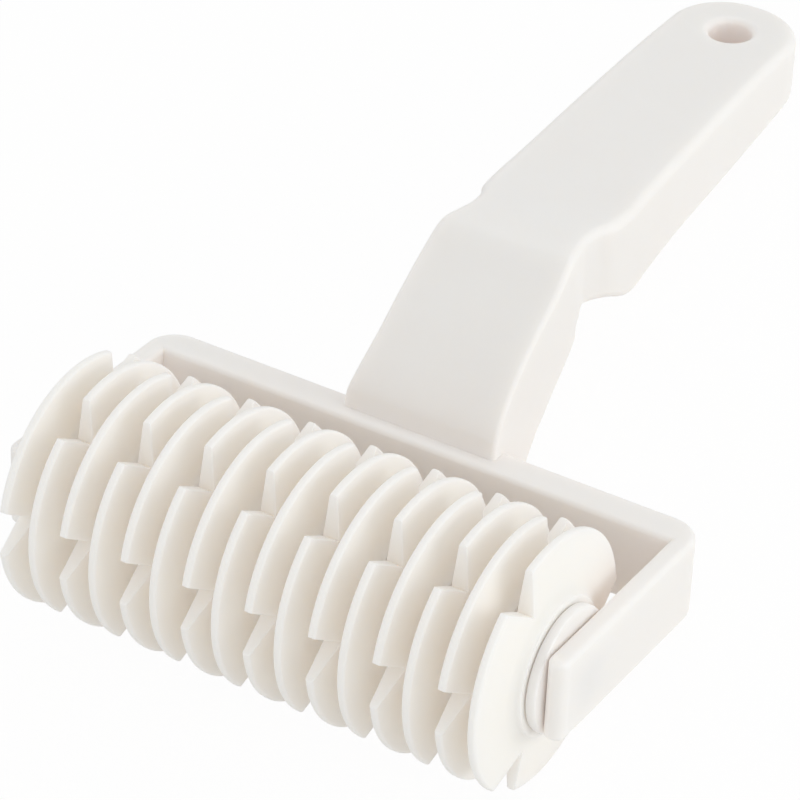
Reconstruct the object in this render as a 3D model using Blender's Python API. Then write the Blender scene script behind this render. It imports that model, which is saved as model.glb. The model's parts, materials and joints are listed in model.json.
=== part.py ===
"""Lattice roller cutter: a fork and handle moulded in one, and a roller of sixteen notched discs.

The discs sit side by side on a hexagonal axle, which turns in two blind sockets in the fork's arms.
Each disc has three V notches, and each next disc is turned by half a notch spacing, so that the cuts
of neighbours overlap and the rolled dough opens into a lattice.

Metres, +Z up. The tool is modelled in its own frame (X along the roller, Y back towards the handle,
origin on the roller's axis), and an empty then lays it down on its discs and the end of its grip.
"""
import math

import bmesh
import bpy
from mathutils import Vector

# Fork: two arms and a back bar
FORK_WIDTH = 0.120
ARM_THICKNESS = 0.0042
ARM_HEIGHT = 0.0172
ARM_NOSE = 0.010
BAR_THICKNESS = 0.0072
BAR_CORNER_RADIUS = 0.0065
FORK_EDGE_RADIUS = 0.0013
ROLLER_TO_BAR = 0.010

# Handle: neck, waist and grip
HANDLE_REACH = 0.1344
HANDLE_RISE = 0.0527
HANDLE_WIDTH = 0.034
TOP_EDGE_RADIUS = 0.0018
UNDER_EDGE_RADIUS = 0.0020
GRIP_END_DEPTH = 0.0125
HANG_HOLE_DIAMETER = 0.0096
HANG_HOLE_RIM_RADIUS = 0.0006
HANG_HOLE_FROM_END = 0.0125

# Cutter discs
DISC_COUNT = 16
DISC_RADIUS = 0.025
RIM_THICKNESS = 0.0016
BLADE_ROOT_THICKNESS = 0.0034
BLADE_ROOT_RADIUS = 0.017
HUB_RADIUS = 0.0135
HUB_GAP = 0.0003
NOTCH_COUNT = 3
NOTCH_ANGLE = math.radians(60)
NOTCH_APEX_RADIUS = 0.0165
FIRST_NOTCH_TURN = math.radians(-1.5)

# Axle, sockets and thrust washers
AXLE_ACROSS_FLATS = 0.009
BORE_CLEARANCE = 0.0003
JOURNAL_DIAMETER = 0.008
JOURNAL_CLEARANCE = 0.0003
SOCKET_DEPTH = 0.0028
WASHER_DIAMETER = 0.0245
WASHER_THICKNESS = 0.0015
WASHER_TO_ARM = 0.0003
WASHER_TO_HUB = 0.00055

# One overrun serves all cuts
OVERRUN = 0.001

# How finely round shapes are divided
DISC_STEPS = 30
ROUND_STEPS = 32
HOLE_STEPS = 24
HEX_SIDES = 6
CORNER_STEPS = 4
FILLET_STEPS = 2
END_STEPS = 5

# Places that follow from the sizes above
ARM_INNER_X = FORK_WIDTH / 2 - ARM_THICKNESS
BAR_FRONT_Y = DISC_RADIUS + ROLLER_TO_BAR
BAR_BACK_Y = BAR_FRONT_Y + BAR_THICKNESS
WASHER_OUTER_X = ARM_INNER_X - WASHER_TO_ARM
WASHER_INNER_X = WASHER_OUTER_X - WASHER_THICKNESS
HUB_END_X = WASHER_INNER_X - WASHER_TO_HUB
DISC_PITCH = (2 * HUB_END_X + HUB_GAP) / DISC_COUNT

# The handle's sections from the bar to the end of the grip. Each row gives the section's top edge
# and its under edge as shares of HANDLE_REACH and HANDLE_RISE, counted from the bar's front face and
# the fork's underside, and then its width as a share of HANDLE_WIDTH.
SECTION_SHARES = (
    (0.014, 0.008, 0.078, 0.008, 1.000),
    (0.015, 0.093, 0.098, 0.065, 1.000),
    (0.016, 0.192, 0.116, 0.139, 1.000),
    (0.017, 0.278, 0.128, 0.200, 0.997),
    (0.028, 0.383, 0.154, 0.276, 0.983),
    (0.045, 0.446, 0.180, 0.311, 0.953),
    (0.092, 0.559, 0.214, 0.368, 0.911),
    (0.142, 0.667, 0.244, 0.432, 0.898),
    (0.196, 0.769, 0.265, 0.499, 0.894),
    (0.235, 0.845, 0.269, 0.537, 0.874),
    (0.250, 0.862, 0.278, 0.558, 0.856),
    (0.276, 0.868, 0.291, 0.571, 0.809),
    (0.306, 0.868, 0.308, 0.574, 0.768),
    (0.340, 0.868, 0.341, 0.560, 0.793),
    (0.358, 0.868, 0.372, 0.541, 0.862),
    (0.392, 0.869, 0.410, 0.503, 0.894),
    (0.417, 0.874, 0.433, 0.498, 0.896),
    (0.471, 0.891, 0.488, 0.530, 0.876),
    (0.575, 0.921, 0.579, 0.579, 0.859),
    (0.703, 0.954, 0.706, 0.627, 0.838),
    (0.835, 0.981, 0.840, 0.684, 0.818),
    (1.000, 1.000, 1.000, 0.751, 0.794),
)
# A section's edges are never rounded by more than this share of its width
EDGE_LIMIT_SHARE = 0.45
# How far the grip's rounded end is followed before it is closed by a flat sliver
END_TURN = math.radians(84)

WHITE_PLASTIC = (0.81, 0.80, 0.78)
IVORY_PLASTIC = (0.83, 0.82, 0.76)
PLASTIC_ROUGHNESS = 0.45
SHARP_ANGLE = math.radians(35)
QUARTER_TURN = math.pi / 2


def moulded_plastic(name, colour):
    """A plain moulded plastic."""
    made = bpy.data.materials.new(name)
    made.use_nodes = True
    shader = made.node_tree.nodes["Principled BSDF"]
    shader.inputs["Base Color"].default_value = (*colour, 1)
    shader.inputs["Roughness"].default_value = PLASTIC_ROUGHNESS
    shader.inputs["Metallic"].default_value = 0
    return made


def add_object(name, mesh, carrier):
    """Put a mesh into the scene, carried by an empty."""
    made = bpy.data.objects.new(name, mesh)
    bpy.context.scene.collection.objects.link(made)
    made.parent = carrier
    return made


def add_piece(name, mesh, carrier, finish):
    """A piece of the tool, smooth but for its sharp edges."""
    piece = add_object(name, mesh, carrier)
    if not mesh.materials:
        mesh.materials.append(finish)
    mesh.shade_smooth()
    mesh.set_sharp_from_angle(angle=SHARP_ANGLE)
    return piece


def add_helper(name, mesh, carrier):
    """A body that only cuts a piece or is joined to it."""
    helper = add_object(name, mesh, carrier)
    helper.hide_render = True
    helper.display_type = "WIRE"
    return helper


def add_empty(name, carrier=None):
    """An empty that carries pieces."""
    return add_object(name, None, carrier)


def combine(piece, helper, operation):
    """Cut a helper from a piece, or join it on."""
    change = piece.modifiers.new(helper.name, "BOOLEAN")
    change.operation = operation
    change.object = helper
    change.solver = "EXACT"


def mesh_from(name, shape):
    """Turn a bmesh into a mesh whose faces point outwards."""
    bmesh.ops.recalc_face_normals(shape, faces=shape.faces)
    mesh = bpy.data.meshes.new(name)
    shape.to_mesh(mesh)
    shape.free()
    return mesh


def skinned_mesh(name, rings, closed=False):
    """Skin rings of equally many points, as a body with flat ends or closed in a loop."""
    shape = bmesh.new()
    loops = [[shape.verts.new(point) for point in ring] for ring in rings]
    following = loops[1:] + loops[:1] if closed else loops[1:]
    for loop, after in zip(loops, following):
        for k in range(len(loop)):
            other = (k + 1) % len(loop)
            shape.faces.new((loop[k], loop[other], after[other], after[k]))
    if not closed:
        shape.faces.new(loops[0])
        shape.faces.new(loops[-1])
    return mesh_from(name, shape)


def turned_mesh(name, profile, steps, closed=False):
    """A body turned about X from (x, radius) points."""
    turns = [2 * math.pi * k / steps for k in range(steps)]
    rings = []
    for x, radius in profile:
        rings.append([(x, radius * math.cos(turn), radius * math.sin(turn)) for turn in turns])
    return skinned_mesh(name, rings, closed)


def prism_mesh(name, across_flats, half_length):
    """A regular prism along X, such as the axle's hexagon."""
    corner_radius = across_flats / 2 / math.cos(math.pi / HEX_SIDES)
    return turned_mesh(name, [(-half_length, corner_radius), (half_length, corner_radius)], HEX_SIDES)


def arc(centre, radii, start, turn, steps):
    """Points along a round or elliptic arc in a plane, both ends included."""
    angles = [start + turn * k / steps for k in range(steps + 1)]
    return [(centre[0] + radii[0] * math.cos(a), centre[1] + radii[1] * math.sin(a)) for a in angles]


def fork_mesh():
    """The U of two arms and a bar: its plan outline raised to its height, with rounded edges."""
    outer = FORK_WIDTH / 2
    centre_x = outer - BAR_CORNER_RADIUS
    centre_y = BAR_BACK_Y - BAR_CORNER_RADIUS
    radii = (BAR_CORNER_RADIUS, BAR_CORNER_RADIUS)
    outline = [(-outer, -ARM_NOSE), (-ARM_INNER_X, -ARM_NOSE), (-ARM_INNER_X, BAR_FRONT_Y)]
    outline += [(ARM_INNER_X, BAR_FRONT_Y), (ARM_INNER_X, -ARM_NOSE), (outer, -ARM_NOSE)]
    outline += arc((centre_x, centre_y), radii, 0, QUARTER_TURN, 2 * CORNER_STEPS)
    outline += arc((-centre_x, centre_y), radii, QUARTER_TURN, QUARTER_TURN, 2 * CORNER_STEPS)
    shape = bmesh.new()
    floor = shape.faces.new([shape.verts.new((x, y, -ARM_HEIGHT / 2)) for x, y in outline])
    raised = bmesh.ops.extrude_face_region(shape, geom=[floor])["geom"]
    upper = [item for item in raised if isinstance(item, bmesh.types.BMVert)]
    bmesh.ops.translate(shape, verts=upper, vec=(0, 0, ARM_HEIGHT))
    bmesh.ops.recalc_face_normals(shape, faces=shape.faces)
    edges = [edge for edge in shape.edges if edge.calc_face_angle() > SHARP_ANGLE]
    bmesh.ops.bevel(
        shape, geom=edges, offset=FORK_EDGE_RADIUS, segments=FILLET_STEPS, profile=0.5, affect="EDGES"
    )
    return mesh_from("fork", shape)


def handle_point(reach_share, rise_share):
    """A point of the handle's side view."""
    y = BAR_FRONT_Y + HANDLE_REACH * reach_share
    z = -ARM_HEIGHT / 2 + HANDLE_RISE * rise_share
    return Vector((0, y, z))


def grip_edges(reach):
    """The grip's top and under point at a reach beyond the last but one section."""
    before, last = SECTION_SHARES[-2:]
    share = reach / HANDLE_REACH
    along = (share - before[0]) / (last[0] - before[0])
    top_rise = before[1] + (last[1] - before[1]) * along
    under_rise = before[3] + (last[3] - before[3]) * along
    return handle_point(share, top_rise), handle_point(share, under_rise)


def edge_drop(radius, inset):
    """How far a rounded edge lies below its face, at a distance in from the outline."""
    return radius - math.sqrt(radius ** 2 - max(radius - inset, 0) ** 2)


def section_ring(top, under, width):
    """A rounded rectangle across the handle, from its top edge down to its under edge."""
    down = under - top
    height = down.length
    down.normalize()
    over = min(TOP_EDGE_RADIUS, width * EDGE_LIMIT_SHARE)
    beneath = min(UNDER_EDGE_RADIUS, width * EDGE_LIMIT_SHARE)
    side = arc((width / 2 - over, over), (over, over), -QUARTER_TURN, QUARTER_TURN, CORNER_STEPS)
    side += arc((width / 2 - beneath, height - beneath), (beneath, beneath), 0, QUARTER_TURN, CORNER_STEPS)
    other_side = [(-x, depth) for x, depth in reversed(side)]
    return [top + down * depth + Vector((x, 0, 0)) for x, depth in side + other_side]


def handle_rings():
    """The handle's sections in order, the last few drawn in to the grip's rounded end."""
    rings = []
    for top_reach, top_rise, under_reach, under_rise, width_share in SECTION_SHARES[:-1]:
        top = handle_point(top_reach, top_rise)
        under = handle_point(under_reach, under_rise)
        rings.append(section_ring(top, under, HANDLE_WIDTH * width_share))
    end_width = HANDLE_WIDTH * SECTION_SHARES[-1][-1]
    for k in range(END_STEPS + 1):
        turn = END_TURN * k / END_STEPS
        inset = GRIP_END_DEPTH * (1 - math.sin(turn))
        top, under = grip_edges(HANDLE_REACH - inset)
        down = (under - top).normalized()
        top += down * edge_drop(TOP_EDGE_RADIUS, inset)
        under -= down * edge_drop(UNDER_EDGE_RADIUS, inset)
        rings.append(section_ring(top, under, end_width * math.cos(turn)))
    return rings


def hang_hole_mesh():
    """A turned plug for the hang hole, flared at both mouths, its axis along X from the grip's top."""
    top, under = grip_edges(HANDLE_REACH - HANG_HOLE_FROM_END)
    depth = (top - under).length
    hole = HANG_HOLE_DIAMETER / 2
    rim = HANG_HOLE_RIM_RADIUS
    flare = arc((rim, hole + rim), (rim, rim), math.pi, QUARTER_TURN, FILLET_STEPS + 1)
    mouth = [(-OVERRUN, hole + rim)] + flare
    far_mouth = [(depth - x, radius) for x, radius in reversed(mouth)]
    return turned_mesh("hang_hole", mouth + far_mouth, HOLE_STEPS)


def make_handle_frame(carrier, rings, finish):
    """Fork and handle in one moulding, with a socket in each arm and a hole to hang it by."""
    frame = add_piece("handle_frame", fork_mesh(), carrier, finish)
    combine(frame, add_helper("handle", skinned_mesh("handle", rings), carrier), "UNION")
    socket_radius = JOURNAL_DIAMETER / 2 + JOURNAL_CLEARANCE
    socket_reach = ARM_INNER_X + SOCKET_DEPTH
    ends = [(-socket_reach, socket_radius), (socket_reach, socket_radius)]
    sockets = add_helper("sockets", turned_mesh("sockets", ends, ROUND_STEPS), carrier)
    combine(frame, sockets, "DIFFERENCE")
    hole = add_helper("hang_hole", hang_hole_mesh(), carrier)
    top, under = grip_edges(HANDLE_REACH - HANG_HOLE_FROM_END)
    hole.location = top
    hole.rotation_euler.y = QUARTER_TURN
    combine(frame, hole, "DIFFERENCE")
    return frame


def notch_wedges_mesh():
    """The V wedges that cut a disc's notches, the first one pointing to the front."""
    reach = DISC_RADIUS + OVERRUN
    half_opening = (reach - NOTCH_APEX_RADIUS) * math.tan(NOTCH_ANGLE / 2)
    half_thickness = BLADE_ROOT_THICKNESS / 2 + OVERRUN
    corners = [(NOTCH_APEX_RADIUS, 0), (reach, half_opening), (reach, -half_opening)]
    shape = bmesh.new()
    for notch in range(NOTCH_COUNT):
        turn = math.pi + 2 * math.pi * notch / NOTCH_COUNT
        outward = Vector((0, math.cos(turn), math.sin(turn)))
        aside = Vector((0, -math.sin(turn), math.cos(turn)))
        ends = []
        for x in (-half_thickness, half_thickness):
            points = [outward * out + aside * off + Vector((x, 0, 0)) for out, off in corners]
            ends.append([shape.verts.new(point) for point in points])
        near, far = ends
        shape.faces.new(near)
        shape.faces.new(far)
        for k in range(len(corners)):
            other = (k + 1) % len(corners)
            shape.faces.new((near[k], near[other], far[other], far[k]))
    return mesh_from("notch_wedges", shape)


def disc_mesh(carrier):
    """One disc: blade, hub with a rounded foot, hexagonal bore and notches."""
    hub_half = (DISC_PITCH - HUB_GAP) / 2
    root_half = BLADE_ROOT_THICKNESS / 2
    foot_centre = (hub_half, BLADE_ROOT_RADIUS)
    foot_radii = (hub_half - root_half, BLADE_ROOT_RADIUS - HUB_RADIUS)
    foot = arc(foot_centre, foot_radii, -QUARTER_TURN, -QUARTER_TURN, FILLET_STEPS)
    right = foot + [(RIM_THICKNESS / 2, DISC_RADIUS)]
    left = [(-x, radius) for x, radius in right]
    blank = add_helper("disc_blank", turned_mesh("disc_blank", left + right[::-1], DISC_STEPS), carrier)
    bore_size = AXLE_ACROSS_FLATS + 2 * BORE_CLEARANCE
    bore = add_helper("disc_bore", prism_mesh("disc_bore", bore_size, hub_half + OVERRUN), carrier)
    combine(blank, bore, "DIFFERENCE")
    wedges = add_helper("notch_wedges", notch_wedges_mesh(), carrier)
    combine(blank, wedges, "DIFFERENCE")
    graph = bpy.context.evaluated_depsgraph_get()
    return bpy.data.meshes.new_from_object(blank.evaluated_get(graph))


def make_discs(carrier, finish):
    """The row of discs, each turned by half a notch spacing against the one before it."""
    mesh = disc_mesh(carrier)
    mesh.name = "cutter_disc"
    for number in range(DISC_COUNT):
        disc = add_piece(f"cutter_disc_{number + 1:02d}", mesh, carrier, finish)
        disc.location.x = (number - (DISC_COUNT - 1) / 2) * DISC_PITCH
        disc.rotation_euler.x = FIRST_NOTCH_TURN - (number % 2) * math.pi / NOTCH_COUNT


def make_axle(carrier, finish):
    """The hexagonal axle with its round journals."""
    axle = add_piece("roller_axle", prism_mesh("axle", AXLE_ACROSS_FLATS, HUB_END_X), carrier, finish)
    journal_reach = ARM_INNER_X + SOCKET_DEPTH - JOURNAL_CLEARANCE
    ends = [(-journal_reach, JOURNAL_DIAMETER / 2), (journal_reach, JOURNAL_DIAMETER / 2)]
    journals = add_helper("journals", turned_mesh("journals", ends, ROUND_STEPS), carrier)
    combine(axle, journals, "UNION")


def make_washer(name, side, carrier, finish):
    """A thrust washer on a journal, against the arm."""
    bore = JOURNAL_DIAMETER / 2 + JOURNAL_CLEARANCE
    rim = WASHER_DIAMETER / 2
    near = side * WASHER_INNER_X
    far = side * WASHER_OUTER_X
    profile = [(near, bore), (near, rim), (far, rim), (far, bore)]
    add_piece(name, turned_mesh(name, profile, ROUND_STEPS, closed=True), carrier, finish)


def resting_tilt(points):
    """How far the tool tips back until one of the points meets the ground with the discs."""
    tilts = []
    for point in points:
        distance = math.hypot(point.y, point.z)
        if point.y > DISC_RADIUS:
            tilts.append(math.atan2(point.z, point.y) + math.asin(DISC_RADIUS / distance))
    return min(tilts)


def lay_down(datum, rings):
    """Rest the tool on its discs and grip, centred front to back over the origin."""
    points = [point for ring in rings for point in ring]
    tilt = resting_tilt(points)
    back = max(point.y * math.cos(tilt) + point.z * math.sin(tilt) for point in points)
    datum.rotation_euler.x = -tilt
    datum.location = (0, (DISC_RADIUS - back) / 2, DISC_RADIUS)


for old in list(bpy.data.objects):
    bpy.data.objects.remove(old)

white = moulded_plastic("white_plastic", WHITE_PLASTIC)
ivory = moulded_plastic("ivory_plastic", IVORY_PLASTIC)
tool_datum = add_empty("tool_datum")
roller_centre = add_empty("roller_centre", tool_datum)
grip_rings = handle_rings()

make_handle_frame(tool_datum, grip_rings, white)
make_washer("thrust_washer_left", -1, tool_datum, ivory)
make_washer("thrust_washer_right", 1, tool_datum, ivory)
make_discs(roller_centre, ivory)
make_axle(roller_centre, ivory)
lay_down(tool_datum, grip_rings)
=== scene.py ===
# %% [markdown]
# # A lattice roller cutter
# This tool is rolled over pastry. Sixteen notched discs press rows of short slits into it, and when
# the pastry is pulled sideways the slits open into a lattice. The tool looks all plastic: one moulding
# for the handle and its fork, and a roller of discs on an axle that doesn't show. The fixed frame gives
# the size and place of every part, and this notebook gives each part its finished shape and its surface.
# Two details differ from the frame: the washers are thicker here, and the hang hole is narrower. The
# real size isn't known, and what the photograph hides is a guess, as the text says where it comes up.

# %% Open the fixed frame
import json
import math

import bmesh
import bpy
from mathutils import Matrix, Vector

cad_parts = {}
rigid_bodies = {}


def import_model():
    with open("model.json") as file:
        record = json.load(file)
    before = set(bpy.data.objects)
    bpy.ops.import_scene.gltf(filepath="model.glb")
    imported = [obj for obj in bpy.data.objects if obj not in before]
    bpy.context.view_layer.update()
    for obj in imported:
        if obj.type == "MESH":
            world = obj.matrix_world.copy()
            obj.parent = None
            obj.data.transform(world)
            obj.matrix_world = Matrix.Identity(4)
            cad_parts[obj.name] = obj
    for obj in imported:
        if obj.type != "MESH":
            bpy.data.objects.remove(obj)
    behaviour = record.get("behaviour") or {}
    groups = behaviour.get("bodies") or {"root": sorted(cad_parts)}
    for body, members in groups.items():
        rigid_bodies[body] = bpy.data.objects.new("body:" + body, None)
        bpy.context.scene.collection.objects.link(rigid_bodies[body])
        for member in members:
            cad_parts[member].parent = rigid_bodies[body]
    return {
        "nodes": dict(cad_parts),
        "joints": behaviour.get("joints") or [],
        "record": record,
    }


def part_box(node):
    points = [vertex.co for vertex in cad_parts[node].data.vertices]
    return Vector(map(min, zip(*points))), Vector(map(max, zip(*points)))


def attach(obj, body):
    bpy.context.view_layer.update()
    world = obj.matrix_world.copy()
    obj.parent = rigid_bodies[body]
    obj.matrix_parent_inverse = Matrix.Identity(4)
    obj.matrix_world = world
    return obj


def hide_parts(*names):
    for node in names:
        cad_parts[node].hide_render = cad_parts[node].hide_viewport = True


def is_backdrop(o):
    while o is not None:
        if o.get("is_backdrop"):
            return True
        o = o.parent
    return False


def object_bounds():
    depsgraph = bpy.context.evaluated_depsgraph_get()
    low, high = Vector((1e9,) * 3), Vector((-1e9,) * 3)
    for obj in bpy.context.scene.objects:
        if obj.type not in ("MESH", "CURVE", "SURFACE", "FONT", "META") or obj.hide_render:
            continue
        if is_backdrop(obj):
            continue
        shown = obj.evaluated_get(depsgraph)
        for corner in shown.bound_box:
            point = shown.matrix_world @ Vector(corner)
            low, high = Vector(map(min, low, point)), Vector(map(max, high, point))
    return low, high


for old in list(bpy.data.objects):
    bpy.data.objects.remove(old)
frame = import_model()
cad_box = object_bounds()
print("parts in the frame:", len(frame["nodes"]))

# %% [markdown]
# ## Where the tool lies
# The tool rests on its discs and on the end of its grip, so it leans back. It is easier to model it
# level, with the roller's axis on X, and to lay it down at the end. The axis is known from the
# roller's joint. How far the tool leans follows from the mark on the right arm's outer face, which
# sits level with the axis when the tool is level.

# %% Find the roller's axis and the lean
MM = 0.001
spin = frame["joints"][0]
axis_point = Vector(spin["pos_m"])
arm_mark = next(mark for mark in frame["record"]["mounts"] if mark["name"] == "right_arm_face")
from_axis = Vector(arm_mark["pos_m"]) - axis_point
lean = math.atan2(-from_axis.z, from_axis.y)
LAID_DOWN = Matrix.Translation(axis_point) @ Matrix.Rotation(-lean, 4, "X")
print("the tool leans back by", round(math.degrees(lean), 2), "degrees")

# %% Read the sizes that the parts share
washer_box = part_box("thrust_washer_right")
FORK_WIDTH = 2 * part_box("handle_frame")[1].x
HUB_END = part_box("cutter_disc_16")[1].x
DISC_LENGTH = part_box("cutter_disc_16")[1].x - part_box("cutter_disc_16")[0].x
DISC_COUNT = sum(name.startswith("cutter_disc") for name in frame["nodes"])
DISC_PITCH = (2 * HUB_END - DISC_LENGTH) / (DISC_COUNT - 1)
WASHER_RADIUS = (washer_box[1].y - washer_box[0].y) / 2
JOURNAL_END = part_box("roller_axle")[1].x
print("fork", round(FORK_WIDTH / MM, 1), "mm wide; discs every", round(DISC_PITCH / MM, 2), "mm")

# %% [markdown]
# ## Working by hand, but in code
# Every part below starts as a simple primitive and is then shaped in edit mode. A person would click
# on faces and edges. Here they are chosen by a test, such as all edges at the back. A test compares a
# place with a small margin, the fold at an edge in radians, or a face's direction with an axis, where
# one means straight along it. These few helpers do the clicking: one lets go of everything, one opens
# a part for editing, and one selects.

# %% Helpers for selecting
SAME_PLACE = 0.01 * MM


def let_go():
    """Leave edit mode and select nothing."""
    if bpy.context.object and bpy.context.object.mode != "OBJECT":
        bpy.ops.object.mode_set(mode="OBJECT")
    bpy.ops.object.select_all(action="DESELECT")


def take(piece):
    """Select one part alone and make it the active one."""
    let_go()
    piece.select_set(True)
    bpy.context.view_layer.objects.active = piece


def open_up(piece):
    """Open a part in edit mode with everything in it selected."""
    take(piece)
    bpy.ops.object.mode_set(mode="EDIT")
    bpy.ops.mesh.select_all(action="SELECT")


def pick(kind, test):
    """Select only the vertices, edges or faces of the open part that pass a test."""
    bpy.ops.mesh.select_mode(type=kind)
    bpy.ops.mesh.select_all(action="DESELECT")
    shape = bmesh.from_edit_mesh(bpy.context.object.data)
    items = {"VERT": shape.verts, "EDGE": shape.edges, "FACE": shape.faces}[kind]
    picked = [item for item in items if test(item)]
    for item in picked:
        item.select_set(True)
    shape.select_flush_mode()
    bmesh.update_edit_mesh(bpy.context.object.data)
    return len(picked)


def merge_doubles():
    """Merge the open part's vertices that lie on top of each other."""
    bpy.ops.mesh.select_all(action="SELECT")
    bpy.ops.mesh.remove_doubles(threshold=SAME_PLACE)


# %% Helpers for whole parts
SMOOTH_UP_TO = math.radians(32)
FLAT_FACE_WEIGHT = 100


def new_part(name):
    """Name the primitive that was just added, and settle its place in its mesh."""
    part = bpy.context.object
    part.name = name
    part.data.name = name
    bpy.ops.object.transform_apply(location=True, rotation=True, scale=True)
    return part


def apply_change(part, kind, **settings):
    """Add a modifier to a part and apply it at once."""
    take(part)
    change = part.modifiers.new(kind.lower(), kind)
    for name, value in settings.items():
        setattr(change, name, value)
    bpy.ops.object.modifier_apply(modifier=change.name)


def combine(part, helper, operation):
    """Join a helper to a part or cut it out, and throw the helper away."""
    apply_change(part, "BOOLEAN", operation=operation, object=helper, solver="EXACT")
    bpy.data.objects.remove(helper)


def smooth(part):
    """Shade a part smooth, with large flat faces kept flat right up to their rounded edges."""
    take(part)
    bpy.ops.object.shade_smooth_by_angle(angle=SMOOTH_UP_TO)
    apply_change(part, "WEIGHTED_NORMAL", keep_sharp=True, weight=FLAT_FACE_WEIGHT)


def fold(edge):
    """How sharply the two faces at an edge meet, or zero at a loose edge."""
    return edge.calc_face_angle() if len(edge.link_faces) == 2 else 0.0


print("helpers ready")

# %% [markdown]
# ## The fork
# The fork is the U at the front: a bar and two arms that hold the roller. It starts as a cube of the
# bar's size. Two cuts across it mark where the arms join, and the ends are then drawn forward. The
# real moulding has large round corners at the back and a small round on every other edge, because
# molten plastic doesn't fill a sharp corner, and a hand shouldn't meet one.

# %% Draw the fork from a bar
ARM_THICKNESS = 4.2 * MM
FORK_HEIGHT = 17.2 * MM
BAR_FRONT, BAR_BACK = 35.0 * MM, 42.2 * MM
ARM_FRONT = -10.0 * MM
ARM_INNER = FORK_WIDTH / 2 - ARM_THICKNESS
FACING = 0.9
FLAT_FOLD = math.radians(1)

let_go()
bpy.ops.mesh.primitive_cube_add(
    size=1, location=(0, (BAR_FRONT + BAR_BACK) / 2, 0),
    scale=(FORK_WIDTH, BAR_BACK - BAR_FRONT, FORK_HEIGHT),
)
tool_frame = new_part("tool_frame")
open_up(tool_frame)
for side in (-1, 1):
    bpy.ops.mesh.select_all(action="SELECT")
    bpy.ops.mesh.bisect(plane_co=(side * ARM_INNER, 0, 0), plane_no=(1, 0, 0))
pick("FACE", lambda f: f.normal.y < -FACING and abs(f.calc_center_median().x) > ARM_INNER)
bpy.ops.mesh.extrude_region_move(TRANSFORM_OT_translate={"value": (0, ARM_FRONT - BAR_FRONT, 0)})
bpy.ops.mesh.select_all(action="SELECT")
bpy.ops.mesh.dissolve_limited(angle_limit=FLAT_FOLD)
print("fork drawn:", len(bmesh.from_edit_mesh(tool_frame.data).faces), "faces")

# %% Round the fork's corners and edges
BACK_CORNER = 6.5 * MM
NOSE_CORNER = 1.9 * MM
FORK_EDGE = 1.2 * MM
MARGIN = 1.0 * MM
STRAIGHT = 0.99
CORNER_FOLD = 1.0


def is_upright(edge):
    """True for an edge that runs straight up."""
    return abs((edge.verts[0].co - edge.verts[1].co).normalized().z) > STRAIGHT


def middle(edge):
    """The middle of an edge."""
    return (edge.verts[0].co + edge.verts[1].co) / 2


pick("EDGE", lambda e: is_upright(e) and middle(e).y > BAR_BACK - MARGIN and abs(middle(e).x) > ARM_INNER)
bpy.ops.mesh.bevel(offset=BACK_CORNER, segments=12, affect="EDGES", clamp_overlap=False)
pick("EDGE", lambda e: is_upright(e) and middle(e).y < ARM_FRONT + MARGIN)
bpy.ops.mesh.bevel(offset=NOSE_CORNER, segments=5, affect="EDGES")
pick("EDGE", lambda e: sum(abs(f.normal.z) > FACING for f in e.link_faces) == 1 and fold(e) > CORNER_FOLD)
bpy.ops.mesh.bevel(offset=FORK_EDGE, segments=4, affect="EDGES", clamp_overlap=False)
merge_doubles()
let_go()
print("fork rounded:", len(tool_frame.data.polygons), "faces")

# %% [markdown]
# ## The handle
# The handle rises steeply from the bar as a broad neck, turns over at a narrow waist, and runs back
# as a flat grip. A hollow under the waist is where the finger curls. It is drawn as a box that is
# pulled through a row of stations: each station gives the place of the handle's top edge, the place
# of its under edge, and its width. A smooth curve through the stations fills in the steps between. The
# under side doesn't show in the photograph. It is drawn closed and solid, which is a guess.

# %% Stations along the handle
# Each row is in millimetres from the roller's axis: top edge back and up, under edge back and up, width.
FOOT = (
    (36.86, -8.16, 45.50, -8.16, 34.00),
    (36.99, -3.69, 48.20, -5.20, 34.00),
    (37.13, 1.50, 50.60, -1.30, 34.00),
    (37.30, 6.03, 52.20, 1.95, 33.90),
)
NECK_AND_GRIP = (
    (38.78, 11.57, 55.64, 5.96, 33.42),
    (41.09, 14.91, 59.13, 7.78, 32.41),
    (47.31, 20.87, 63.80, 10.81, 30.97),
    (54.04, 26.56, 67.80, 14.18, 30.54),
    (61.34, 31.92, 70.60, 17.70, 30.40),
    (66.60, 35.92, 71.20, 19.70, 29.70),
    (68.56, 36.85, 72.30, 20.80, 29.10),
    (72.14, 37.12, 74.10, 21.50, 27.50),
    (76.10, 37.12, 76.40, 21.65, 26.10),
    (80.69, 37.15, 80.80, 20.90, 26.96),
    (83.17, 37.16, 85.05, 19.90, 29.30),
    (87.70, 37.22, 90.10, 17.90, 30.40),
    (91.03, 37.47, 93.15, 17.66, 30.46),
    (98.31, 38.36, 100.61, 19.33, 29.80),
    (112.27, 39.92, 112.77, 21.92, 29.20),
    (129.54, 41.69, 129.87, 24.45, 28.50),
    (147.22, 43.10, 147.93, 27.46, 27.80),
)
GRIP_END = (169.36, 44.10, 169.36, 31.11, 27.00)
STEPS_BETWEEN = 4


def slope_at(rows, times, k):
    """How fast each number of a row changes there, judged from the rows on both sides."""
    before, after = times[k] - times[k - 1], times[k + 1] - times[k]
    slopes = []
    for a, b, c in zip(rows[k - 1], rows[k], rows[k + 1]):
        slopes.append(((b - a) / before * after + (c - b) / after * before) / (before + after))
    return slopes


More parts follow.
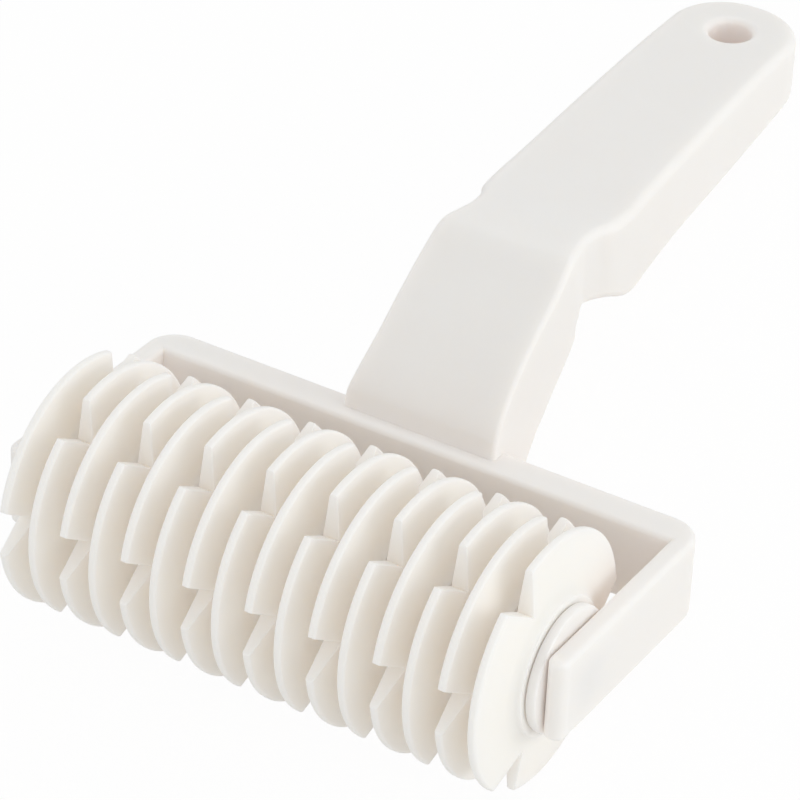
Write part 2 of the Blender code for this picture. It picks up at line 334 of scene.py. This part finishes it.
def fill_in(rows, steps):
    """Steps from the second row up to the last but one, on a smooth curve through all the rows."""
    times = [0.0]
    for row, after in zip(rows, rows[1:]):
        times.append(times[-1] + math.dist(row, after) ** 0.5)
    filled = []
    for k in range(1, len(rows) - 2):
        span = times[k + 1] - times[k]
        leaving, arriving = slope_at(rows, times, k), slope_at(rows, times, k + 1)
        for step in range(steps):
            s = step / steps
            weights = (
                2*s**3 - 3*s**2 + 1, (s**3 - 2*s**2 + s) * span, 3*s**2 - 2*s**3, (s**3 - s**2) * span,
            )
            parts = zip(rows[k], leaving, rows[k + 1], arriving)
            filled.append([sum(w * value for w, value in zip(weights, part)) for part in parts])
    return filled


rows = list(FOOT) + fill_in([FOOT[-1]] + list(NECK_AND_GRIP) + [GRIP_END], STEPS_BETWEEN)
rows += [NECK_AND_GRIP[-1], GRIP_END]
stations = []
for top_y, top_z, under_y, under_z, width in rows:
    stations.append((Vector((0, top_y, top_z)) * MM, Vector((0, under_y, under_z)) * MM, width * MM))
print("stations along the handle:", len(stations))

# %% Pull the handle through its stations
first_top, first_under, first_width = stations[0]
height = first_under - first_top
let_go()
bpy.ops.mesh.primitive_plane_add(
    size=first_width, location=(first_top + first_under) / 2,
    rotation=(math.atan2(height.z, height.y), 0, 0),
)
handle = new_part("handle")
open_up(handle)
shorter = height.length / first_width
bpy.ops.transform.resize(value=(1, shorter, shorter), center_override=(first_top + first_under) / 2)
for (top, under, width), (new_top, new_under, new_width) in zip(stations, stations[1:]):
    bpy.ops.mesh.extrude_region_move(TRANSFORM_OT_translate={"value": new_top - top})
    bpy.ops.transform.resize(value=(new_width / width, 1, 1), center_override=(0, 0, 0))
    moved_under = under + new_top - top
    pick("VERT", lambda v: math.hypot(v.co.y - moved_under.y, v.co.z - moved_under.z) < SAME_PLACE)
    bpy.ops.transform.translate(value=new_under - moved_under)
    ends = (new_top, new_under)
    pick("VERT", lambda v: min(math.hypot(v.co.y - end.y, v.co.z - end.z) for end in ends) < SAME_PLACE)
bpy.ops.mesh.select_all(action="SELECT")
bpy.ops.mesh.normals_make_consistent(inside=False)
print("handle pulled out to", round(stations[-1][0].y / MM, 1), "mm behind the axis")

# %% [markdown]
# ## Rounding the handle
# The grip ends in nearly a half round, and its long edges are rounded by two millimetres, because the
# palm lies on them. On the neck, where no hand lies, the upper edges are kept crisper. Each upper edge
# gets a share of the full rounding as its bevel weight, and one bevel then rounds them all. The under
# edges are rounded alike all along. The end is rounded first, so that the long edges run on round it
# when their turn comes.

# %% Round the grip's end and the long edges
GRIP_REACH = GRIP_END[0] * MM
GRIP_END_ROUND = 12.5 * MM
GRIP_EDGE, LOWER_EDGE = 2.0 * MM, 2.0 * MM
NECK_SHARE, WAIST_SHARE = 0.5, 0.75
WAIST_START, WAIST_STOP = 62.0 * MM, 80.0 * MM
FOOT_EDGE = 0.8 * MM
CLOSE_BY = 0.1 * MM
LAST_BEND = stations[-2][0].y + CLOSE_BY
MOSTLY_FACING, PARTLY_FACING = 0.5, 0.4


def faces_up(face):
    """True for a face of the handle's upper side, which is its front on the neck."""
    not_a_side = abs(face.normal.x) < MOSTLY_FACING
    return not_a_side and (face.normal.z > MOSTLY_FACING or face.normal.y < -MOSTLY_FACING)


def faces_down(face):
    """True for a face of the handle's under side, which is its back on the neck."""
    not_a_side = abs(face.normal.x) < MOSTLY_FACING
    is_back = face.normal.y > PARTLY_FACING and face.calc_center_median().y < LAST_BEND
    return not_a_side and (face.normal.z < -MOSTLY_FACING or is_back)


def in_foot_rim(edge):
    """True for an edge round the flat foot of the neck."""
    return max(v.co.z for v in edge.verts) < stations[0][0].z + SAME_PLACE


def borders(edge, test):
    """True for an edge above the foot where a face that passes a test meets a side face."""
    on_one_side = sum(test(face) for face in edge.link_faces) == 1
    return on_one_side and fold(edge) > CORNER_FOLD and not in_foot_rim(edge)


pick("EDGE", lambda e: min(v.co.y for v in e.verts) > GRIP_REACH - MARGIN and abs(middle(e).x) > MARGIN)
bpy.ops.mesh.bevel(offset=GRIP_END_ROUND, segments=14, affect="EDGES", clamp_overlap=False)
for start, stop, share in (
    (0.0, WAIST_START, NECK_SHARE), (WAIST_START, WAIST_STOP, WAIST_SHARE), (WAIST_STOP, math.inf, 1.0),
):
    pick("EDGE", lambda e: borders(e, faces_up) and start <= middle(e).y < stop)
    bpy.ops.transform.edge_bevelweight(value=share)
apply_change(handle, "BEVEL", width=GRIP_EDGE, segments=6, limit_method="WEIGHT", use_clamp_overlap=False)
open_up(handle)
pick("EDGE", lambda e: borders(e, faces_down))
bpy.ops.mesh.bevel(offset=LOWER_EDGE, segments=5, affect="EDGES", clamp_overlap=False)
pick("EDGE", in_foot_rim)
bpy.ops.mesh.bevel(offset=FOOT_EDGE, segments=3, affect="EDGES", clamp_overlap=False)
merge_doubles()
let_go()
print("handle rounded:", len(handle.data.polygons), "faces")

# %% [markdown]
# ## One moulding
# On the real tool the fork and the handle come out of the mould as one piece, so they are joined by
# a boolean. The crease that this leaves where the neck meets the bar is softened by a small bevel, as
# a mould maker rounds such a corner to keep the plastic from cracking there.

# %% Join the handle to the fork and soften the crease
NECK_CREASE = 0.9 * MM
CREASE_REACH = 19.5 * MM
CREASE_FOLD = 0.6

combine(tool_frame, handle, "UNION")
open_up(tool_frame)
merge_doubles()


def in_crease(edge):
    """True for an edge where the neck and the bar meet at an inward corner."""
    place = middle(edge)
    near_neck = abs(place.x) < CREASE_REACH and BAR_FRONT + MARGIN < place.y < BAR_BACK + 2 * MARGIN
    return near_neck and not edge.is_convex and fold(edge) > CREASE_FOLD


creased = pick("EDGE", in_crease)
bpy.ops.mesh.bevel(offset=NECK_CREASE, segments=4, affect="EDGES", clamp_overlap=True)
let_go()
print("crease edges softened:", creased)

# %% [markdown]
# ## Sockets and hang hole
# The right arm's outer face is plain in the photograph, with no end of an axle in it, so the axle's
# ends are taken to sit in two blind sockets. The end of the grip has a round hole to hang the tool by,
# and its two mouths are rounded so that a hook or a loop of string slides in. Sockets and hole are cut
# with cylinders, as a drill or a mould pin would make them. The hang hole is 9.0 mm wide here and 9.6 mm
# in the frame's plain part, and its mouths are rounded more.

# %% Cut the sockets and the hang hole
SOCKET_RADIUS = 4.3 * MM
SOCKET_DEPTH = 2.8 * MM
HANG_HOLE_RADIUS = 4.5 * MM
HANG_HOLE_ROUND = 1.4 * MM
HANG_HOLE_FROM_END = 12.5 * MM
HANG_PIN_LENGTH = 40 * MM
SOCKET_STEPS, HANG_HOLE_STEPS = 48, 64

let_go()
bpy.ops.mesh.primitive_cylinder_add(
    vertices=SOCKET_STEPS, radius=SOCKET_RADIUS, depth=2 * (ARM_INNER + SOCKET_DEPTH),
    rotation=(0, math.pi / 2, 0),
)
combine(tool_frame, new_part("socket_pin"), "DIFFERENCE")

end_top, end_under = stations[-1][0], stations[-1][1]
bend_top, bend_under = stations[-2][0], stations[-2][1]
hole_share = HANG_HOLE_FROM_END / (end_top.y - bend_top.y)
hole_top = end_top.lerp(bend_top, hole_share)
hole_under = end_under.lerp(bend_under, hole_share)
hole_line = (hole_under - hole_top).normalized()
let_go()
bpy.ops.mesh.primitive_cylinder_add(
    vertices=HANG_HOLE_STEPS, radius=HANG_HOLE_RADIUS, depth=HANG_PIN_LENGTH,
    location=(hole_top + hole_under) / 2,
    rotation=(math.atan2(-hole_line.y, hole_line.z), 0, 0),
)
combine(tool_frame, new_part("hang_pin"), "DIFFERENCE")


def at_hole_mouth(edge):
    """True for an edge that runs round a mouth of the hang hole."""
    away = middle(edge) - hole_top
    from_line = (away - hole_line * away.dot(hole_line)).length
    return abs(from_line - HANG_HOLE_RADIUS) < CLOSE_BY and fold(edge) > CORNER_FOLD


open_up(tool_frame)
mouth = pick("EDGE", at_hole_mouth)
bpy.ops.mesh.bevel(offset=HANG_HOLE_ROUND, segments=8, affect="EDGES", clamp_overlap=False)
let_go()
print("edges round the hole's two mouths:", mouth)

# %% [markdown]
# ## A cutter disc
# A disc is a turned shape: a thin blade whose sides swell towards the middle and flow into a short
# hub, which spaces it from its neighbours. A lathe would turn it, so a circle is pulled along the axis
# and made larger or smaller at every step. Then a hexagonal hole is cut for the axle, and three V
# notches. Only a part of each disc shows, and the number three follows from the spacing of the notches
# that do. The blades only press the dough apart, so their rims are blunt: one bevel rounds them well,
# and by its weights the hub's edges less and the notches' edges least.

# %% Turn the disc
DISC_RADIUS = 24.95 * MM
RIM_HALF = 0.8 * MM
ROOT_HALF, ROOT_RADIUS = 1.7 * MM, 17.0 * MM
HUB_HALF, HUB_RADIUS = DISC_LENGTH / 2, 13.5 * MM
FOOT_STEPS = 6
TURN_STEPS = 102


def turn_along_axis(name, profile, steps):
    """Pull a circle along X through (place, radius) points, as a lathe would leave the shape."""
    start, radius = profile[0]
    let_go()
    bpy.ops.mesh.primitive_circle_add(
        vertices=steps, radius=radius, fill_type="NGON", location=(start, 0, 0),
        rotation=(0, math.pi / 2, 0),
    )
    turned = new_part(name)
    open_up(turned)
    for (x, radius), (new_x, new_radius) in zip(profile, profile[1:]):
        bpy.ops.mesh.extrude_region_move(TRANSFORM_OT_translate={"value": (new_x - x, 0, 0)})
        ratio = new_radius / radius
        bpy.ops.transform.resize(value=(1, ratio, ratio), center_override=(new_x, 0, 0))
    bpy.ops.mesh.select_all(action="SELECT")
    bpy.ops.mesh.normals_make_consistent(inside=False)
    let_go()
    return turned


hub_foot = []
for step in range(FOOT_STEPS + 1):
    turn = math.pi / 2 * step / FOOT_STEPS
    across = HUB_HALF - (HUB_HALF - ROOT_HALF) * math.sin(turn)
    hub_foot.append((-across, ROOT_RADIUS - (ROOT_RADIUS - HUB_RADIUS) * math.cos(turn)))
left_side = hub_foot + [(-RIM_HALF, DISC_RADIUS)]
right_side = [(-x, radius) for x, radius in reversed(left_side)]
disc = turn_along_axis("disc", left_side + right_side, TURN_STEPS)
disc.data.transform(Matrix.Rotation(math.pi / TURN_STEPS, 4, "X"))
print("disc turned:", len(disc.data.polygons), "faces")

# %% Cut the axle's hole and the notches
HEX_SIDES = 6
BORE_FLATS = 9.6 * MM
NOTCH_COUNT = 3
NOTCH_APEX = 16.5 * MM
NOTCH_ANGLE = math.radians(60)
NOTCH_OUTSIDE = 26.5 * MM

let_go()
bpy.ops.mesh.primitive_cylinder_add(
    vertices=HEX_SIDES, radius=BORE_FLATS / 2 / math.cos(math.pi / HEX_SIDES), depth=3 * HUB_HALF,
    rotation=(0, math.pi / 2, 0),
)
combine(disc, new_part("hexagon"), "DIFFERENCE")
for notch in range(NOTCH_COUNT):
    turn = math.pi + 2 * math.pi * notch / NOTCH_COUNT
    notch_depth = NOTCH_OUTSIDE - NOTCH_APEX
    let_go()
    bpy.ops.mesh.primitive_cube_add(
        size=1, location=(0, NOTCH_APEX + notch_depth / 2, 0),
        scale=(3 * ROOT_HALF, notch_depth, notch_depth),
    )
    wedge = new_part("wedge")
    open_up(wedge)
    pick("FACE", lambda f: f.normal.y > FACING)
    bpy.ops.transform.resize(value=(1, 1, 2 * math.tan(NOTCH_ANGLE / 2)), center_override=(0, 0, 0))
    pick("FACE", lambda f: f.normal.y < -FACING)
    bpy.ops.transform.resize(value=(1, 1, 0.0), center_override=(0, 0, 0))
    merge_doubles()
    let_go()
    wedge.data.transform(Matrix.Rotation(turn, 4, "X"))
    combine(disc, wedge, "DIFFERENCE")
print("disc cut:", len(disc.data.polygons), "faces")

# %% Round the rim well, and the hub and the notches a little
RIM_EDGE = 0.5 * MM
HUB_SHARE, NOTCH_SHARE = 0.5, 0.34
SHARP = math.radians(35)


def from_axis_line(edge):
    """How far the middle of an edge lies from the roller's axis."""
    return math.hypot(middle(edge).y, middle(edge).z)


def on_rim(edge):
    """True for an edge that runs round the blade's rim."""
    return abs(middle(edge).x) > RIM_HALF / 2 and from_axis_line(edge) > DISC_RADIUS - CLOSE_BY


open_up(disc)
for share, wanted in (
    (HUB_SHARE, lambda e: from_axis_line(e) < HUB_RADIUS + MARGIN),
    (NOTCH_SHARE, lambda e: from_axis_line(e) > HUB_RADIUS + MARGIN and e.is_convex and not on_rim(e)),
    (1.0, on_rim),
):
    pick("EDGE", lambda e: fold(e) > SHARP and wanted(e))
    bpy.ops.transform.edge_bevelweight(value=share)
apply_change(disc, "BEVEL", width=RIM_EDGE, segments=4, limit_method="WEIGHT", use_clamp_overlap=False)
smooth(disc)
print("disc rounded:", len(disc.data.polygons), "faces")

# %% [markdown]
# ## Washers and axle
# A ring sits between each end disc and its arm, so that the roller's hubs never rub on the fork. Only
# the right one shows, and the left is its twin by guess. It starts as a short cylinder: both ends get
# an inset circle, and the two inner faces are bridged into a hole. Nothing of the axle shows. It is
# drawn as a hexagonal bar, which would make all the discs turn together, with a round journal at each
# end that runs in the arm's socket. That is a likely form and not one that was seen. Each washer fills
# its gap but for a little on both sides, so it is 2.05 mm thick here, where the frame's is 1.5 mm.

# %% Make a washer
WASHER_BORE = 4.3 * MM
WASHER_GAP = 0.15 * MM
WASHER_EDGE = 0.4 * MM
WASHER_STEPS = 72

let_go()
bpy.ops.mesh.primitive_cylinder_add(
    vertices=WASHER_STEPS, radius=WASHER_RADIUS, depth=ARM_INNER - HUB_END - 2 * WASHER_GAP,
    rotation=(0, math.pi / 2, 0),
)
washer = new_part("washer")
open_up(washer)
pick("FACE", lambda f: abs(f.normal.x) > FACING)
bpy.ops.mesh.inset(thickness=WASHER_RADIUS - WASHER_BORE, depth=0)
bpy.ops.mesh.bridge_edge_loops()
merge_doubles()
bpy.ops.mesh.normals_make_consistent(inside=False)
let_go()
apply_change(washer, "BEVEL", width=WASHER_EDGE, segments=3, limit_method="ANGLE", angle_limit=SHARP)
smooth(washer)
print("washer made:", len(washer.data.polygons), "faces")

# %% Make the axle
AXLE_FLATS = 9.0 * MM
JOURNAL_RADIUS = 4.0 * MM
AXLE_EDGE = 0.25 * MM
JOURNAL_STEPS = 48

let_go()
bpy.ops.mesh.primitive_cylinder_add(
    vertices=HEX_SIDES, radius=AXLE_FLATS / 2 / math.cos(math.pi / HEX_SIDES), depth=2 * HUB_END,
    rotation=(0, math.pi / 2, 0),
)
axle = new_part("axle_bar")
let_go()
bpy.ops.mesh.primitive_cylinder_add(
    vertices=JOURNAL_STEPS, radius=JOURNAL_RADIUS, depth=2 * JOURNAL_END, rotation=(0, math.pi / 2, 0)
)
combine(axle, new_part("journal_bar"), "UNION")
apply_change(axle, "BEVEL", width=AXLE_EDGE, segments=3, limit_method="ANGLE", angle_limit=SHARP)
smooth(axle)
smooth(tool_frame)
print("axle made:", len(axle.data.polygons), "faces")

# %% [markdown]
# ## Putting the tool together
# Every disc is a copy of the one that was modelled, with a mesh of its own, moved along the axle.
# Each next disc is turned by half the space between two notches, so that the cuts of neighbours
# overlap like bricks in a wall. Without that the uncut bridges would line up into solid bands, and the
# pastry couldn't be pulled open. At the end each part is laid down with the lean of the tool, takes the
# place of the plain part in the frame, and rides on the body that carries it.

# %% Copy the discs along the axle and hand the parts over
FIRST_NOTCH_TURN = math.radians(-1.5)


def settle(part, name, body, slot, *nodes):
    """Lay a finished part down, name it, hide the plain parts that it stands for, and hang it on the body
    that carries it.
    """
    part.data.transform(LAID_DOWN)
    part.name = part.data.name = name
    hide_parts(*nodes)
    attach(part, body)
    return part


def copied(part, matrix):
    """A copy of a part with a mesh of its own, moved there."""
    twin = part.copy()
    twin.data = part.data.copy()
    twin.data.transform(matrix)
    bpy.context.scene.collection.objects.link(twin)
    return twin


let_go()
roller_parts = [settle(axle, "hex_axle", "roller", "ivory_plastic", "roller_axle")]
for number in range(1, DISC_COUNT + 1):
    along = (number - (DISC_COUNT + 1) / 2) * DISC_PITCH
    turn = FIRST_NOTCH_TURN - (number - 1) % 2 * math.pi / NOTCH_COUNT
    twin = copied(disc, Matrix.Translation((along, 0, 0)) @ Matrix.Rotation(turn, 4, "X"))
    name = f"cutter_disc_{number:02d}"
    roller_parts.append(settle(twin, f"notched_disc_{number:02d}", "roller", "ivory_plastic", name))
bpy.data.objects.remove(disc)

washer_parts = []
for side, word in ((-1, "left"), (1, "right")):
    middle_x = side * (HUB_END + ARM_INNER) / 2
    twin = copied(washer, Matrix.Translation((middle_x, 0, 0)))
    washer_parts.append(settle(twin, f"washer_{word}", "frame", "ivory_plastic", f"thrust_washer_{word}"))
bpy.data.objects.remove(washer)
settle(tool_frame, "handle_and_fork", "frame", "white_plastic", "handle_frame")
print("parts on the roller:", len(roller_parts))

# %% [markdown]
# ## Surfaces
# All of the tool looks like moulded plastic, most likely polypropylene, which is safe with food, tough,
# and a little waxy to the touch. A mould that was spark eroded would leave such a very fine matt grain.
# The frame is white with a trace of pink, and the roller a touch yellower, as parts from another mould
# and batch can be. Both tones were tuned until the render came close to the photograph, so they are a
# guess at the real ones. One helper turns a colour written in hexadecimal into light values, and one
# adds a node.

# %% Helpers for materials
def linear(hex_colour):
    """Turn a colour such as #F0EEEA into linear red, green, blue and alpha."""
    values = [int(hex_colour[k:k + 2], 16) / 255 for k in (1, 3, 5)]
    return [v / 12.92 if v <= 0.04045 else ((v + 0.055) / 1.055) ** 2.4 for v in values] + [1.0]


def add_node(tree, kind, inputs=(), **settings):
    """Add a node with its settings. Inputs pair a socket with a value, or with the output linked to it."""
    node = tree.nodes.new(kind)
    for name, value in settings.items():
        setattr(node, name, value)
    for socket, value in dict(inputs).items():
        if isinstance(value, bpy.types.NodeSocket):
            tree.links.new(value, node.inputs[socket])
        else:
            node.inputs[socket].default_value = value
    return node


def new_material(name):
    """An empty material and its node tree."""
    material = bpy.data.materials.new(name)
    material.use_nodes = True
    material.node_tree.nodes.clear()
    return material, material.node_tree


# %% Moulded polypropylene
CLOUD_SIZE = 22 * MM
FLOW_SIZE = 9 * MM
WAVE_DEPTH, WAVE_STRENGTH = 0.05 * MM, 0.25
GRAIN_SIZE = 0.45 * MM
GRAIN_DEPTH, GRAIN_STRENGTH = 0.01 * MM, 0.3
FLOW_LOW, FLOW_HIGH = 0.3, 0.7
SHINIEST, DULLEST = 0.50, 0.58
POLYPROPYLENE_IOR = 1.49
GLOW_BY_COLOUR = (1.0, 0.97, 0.92)
WHITE_GLOW_DEPTH, IVORY_GLOW_DEPTH = 1.8 * MM, 2.6 * MM


def moulded_polypropylene(name, colour, cloudy_colour, glow_depth):
    """Matt moulded polypropylene: faint clouds of tone, an uneven satin sheen, and a fine grain.

    The clouds and the slow waves come from how the melt flowed and shrank. Light goes in and spreads
    by the glow depth, which softens the shade in the gaps. A real grain of this kind is about a tenth
    of a millimetre, too fine for the picture, so it is drawn several times as coarse.
    """
    material, tree = new_material(name)
    place = add_node(tree, "ShaderNodeTexCoord").outputs["Object"]
    clouds = add_node(tree, "ShaderNodeTexNoise", {"Vector": place, "Scale": 1 / CLOUD_SIZE, "Detail": 3.0})
    flow = add_node(tree, "ShaderNodeTexNoise", {"Vector": place, "Scale": 1 / FLOW_SIZE, "Detail": 2.0})
    grain = add_node(tree, "ShaderNodeTexNoise", {"Vector": place, "Scale": 1 / GRAIN_SIZE, "Detail": 2.0})
    tone = add_node(
        tree, "ShaderNodeMix", {0: clouds.outputs[0], 6: linear(colour), 7: linear(cloudy_colour)},
        data_type="RGBA",
    )
    sheen = add_node(
        tree, "ShaderNodeMapRange",
        {
            "Value": flow.outputs[0], "From Min": FLOW_LOW, "From Max": FLOW_HIGH, "To Min": SHINIEST,
            "To Max": DULLEST,
        },
    )
    waves = add_node(
        tree, "ShaderNodeBump",
        {"Height": flow.outputs[0], "Strength": WAVE_STRENGTH, "Distance": WAVE_DEPTH},
    )
    texture = add_node(
        tree, "ShaderNodeBump",
        {
            "Height": grain.outputs[0], "Strength": GRAIN_STRENGTH, "Distance": GRAIN_DEPTH,
            "Normal": waves.outputs[0],
        },
    )
    shader = add_node(
        tree, "ShaderNodeBsdfPrincipled",
        {
            "Base Color": tone.outputs[2], "Roughness": sheen.outputs[0], "Normal": texture.outputs[0],
            "IOR": POLYPROPYLENE_IOR, "Subsurface Weight": 1.0, "Subsurface Scale": glow_depth,
            "Subsurface Radius": GLOW_BY_COLOUR,
        },
    )
    add_node(tree, "ShaderNodeOutputMaterial", {"Surface": shader.outputs[0]})
    return material


def dress(parts, material):
    """Give parts one material."""
    for part in parts:
        part.data.materials.clear()
        part.data.materials.append(material)
        print(part.name, "is", material.name)


white = moulded_polypropylene("white_polypropylene_moulded", "#FCF5F2", "#FAF2EE", WHITE_GLOW_DEPTH)
ivory = moulded_polypropylene("ivory_polypropylene_moulded", "#FAF6F2", "#F8F3ED", IVORY_GLOW_DEPTH)
dress([tool_frame], white)
dress(roller_parts + washer_parts, ivory)

# %% [markdown]
# ## The table
# The tool lies on a plain white table that runs out of sight, lit so softly that it throws hardly any
# shadow. The table's own diffuse surface still catches the shadow and throws light up at the tool. To
# the camera it is mostly pure white, mixed with a little of the shaded surface.

# %% Lay the table
TABLE_SIZE = 8.0
TABLE_DROP = 0.05 * MM
WHITE_SHARE = 0.96

let_go()
bpy.ops.mesh.primitive_plane_add(size=TABLE_SIZE, location=(0, 0, -TABLE_DROP))
table = new_part("table")
table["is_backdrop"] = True


def seen_share(tree):
    """One for rays that show the background to the eye: straight, in a reflection or through glass."""
    path = add_node(tree, "ShaderNodeLightPath")
    either = add_node(
        tree, "ShaderNodeMath", {0: path.outputs["Is Camera Ray"], 1: path.outputs["Is Glossy Ray"]},
        operation="MAXIMUM",
    )
    seen = add_node(
        tree, "ShaderNodeMath", {0: either.outputs[0], 1: path.outputs["Is Transmission Ray"]},
        operation="MAXIMUM",
    )
    return seen.outputs[0]


table_white, tree = new_material("white_table")
surface = add_node(tree, "ShaderNodeBsdfDiffuse", {"Color": linear("#FBFAF8")})
glow = add_node(tree, "ShaderNodeEmission", {"Color": (1, 1, 1, 1), "Strength": 1.0})
share = add_node(tree, "ShaderNodeMath", {0: seen_share(tree), 1: WHITE_SHARE}, operation="MULTIPLY")
both = add_node(
    tree, "ShaderNodeMixShader", {0: share.outputs[0], 1: surface.outputs[0], 2: glow.outputs[0]}
)
add_node(tree, "ShaderNodeOutputMaterial", {"Surface": both.outputs[0]})
table.data.materials.append(table_white)
print("table laid")

# %% [markdown]
# ## Light
# A white tool on white needs light that differs a little from side to side, or its faces run together.
# The room gives an even light from all round, which also reaches into the gaps between the discs. One
# large soft lamp stands low on the right and a little behind the tool. It makes the arm's and the
# handle's sides the brightest faces, and leaves the front of the neck and the ends of the arms darker.
#
# White plastic throws most light on, so light bounces many times between the discs before it gets out.
# Cycles follows four soft bounces unless told otherwise, which leaves the gaps and the hang hole too
# dark, so it is told to follow twelve.

# %% Set the lamp and the room's light
LIGHT_BOUNCES = 12
ROOM_LIGHT = 0.83
LAMP_DISTANCE = 3.0
LAMP_SIZE = 2.4
LAMP_POWER = 31.0
TOWARDS_LAMP = Vector((0.95, 0.22, 0.10)).normalized()

let_go()
bpy.ops.object.light_add(type="AREA")
lamp = bpy.context.object
lamp.name = "soft_lamp_right"
lamp.data.size = LAMP_SIZE
lamp.data.energy = LAMP_POWER
lamp.location = TOWARDS_LAMP * LAMP_DISTANCE
lamp.rotation_euler = TOWARDS_LAMP.to_track_quat("Z", "Y").to_euler()

world = bpy.data.worlds.new("studio")
bpy.context.scene.world = world
world.use_nodes = True
tree = world.node_tree
tree.nodes.clear()
room = add_node(tree, "ShaderNodeBackground", {"Color": (1, 1, 1, 1), "Strength": ROOM_LIGHT})
shown = add_node(tree, "ShaderNodeBackground", {"Color": (1, 1, 1, 1), "Strength": 1.0})
mixed = add_node(
    tree, "ShaderNodeMixShader", {0: seen_share(tree), 1: room.outputs[0], 2: shown.outputs[0]}
)
add_node(tree, "ShaderNodeOutputWorld", {"Surface": mixed.outputs[0]})
bpy.context.scene.cycles.diffuse_bounces = LIGHT_BOUNCES
print("light set, followed for", LIGHT_BOUNCES, "soft bounces")

# %% [markdown]
# ## Camera
# The camera looks down on the tool from its right and front, through a long lens, so the far end of
# the grip looks hardly smaller than the near end of the roller. Its place was fitted to the edges of
# the fork, the tips of the notches and the outlines of the end discs, with the discs held at the size
# that they have here, and it is laid down with the tool. The photograph would fit better if it had been
# squeezed in width by about an eighth. A plain camera can't follow that, so the discs look a little
# wider here than in it.

# %% Place the camera
CAMERA_TURN = math.radians(30.43)
CAMERA_HEIGHT = math.radians(32.75)
CAMERA_ROLL = math.radians(2.8)
CAMERA_DISTANCE = 798.063 * MM
CAMERA_TARGET = Vector((-15.47, 57.367, 0)) * MM
LENS = 185.13
SENSOR = 36.0
NEAREST_SEEN = 10 * MM

back = Vector((math.sin(CAMERA_TURN), -math.cos(CAMERA_TURN), math.tan(CAMERA_HEIGHT))).normalized()
across = (-back).cross(Vector((0, 0, 1))).normalized()
up = across.cross(-back)
turned_across = across * math.cos(CAMERA_ROLL) + up * math.sin(CAMERA_ROLL)
turned_up = up * math.cos(CAMERA_ROLL) - across * math.sin(CAMERA_ROLL)
pose = Matrix((turned_across, turned_up, back)).transposed().to_4x4()
pose.translation = CAMERA_TARGET + back * CAMERA_DISTANCE
bpy.ops.object.camera_add()
camera = bpy.context.object
camera.name = "camera"
camera.matrix_world = LAID_DOWN @ pose
camera.data.sensor_width = SENSOR
camera.data.lens = LENS
camera.data.clip_start = NEAREST_SEEN
bpy.context.scene.camera = camera
bpy.context.scene.view_settings.view_transform = "Standard"
print("camera at", [round(value, 3) for value in camera.matrix_world.translation])

# %% [markdown]
# ## The size
# The finished tool has to stay inside the box round all the plain parts, or it would no longer have
# the frame's size. Both boxes are printed at the end.

# %% Print both sizes and finish
sizes = {"cad": [list(corner) for corner in cad_box], "visual": [list(corner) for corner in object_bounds()]}
for name, corners in sizes.items():
    print(name, [[round(value / MM, 2) for value in corner] for corner in corners])
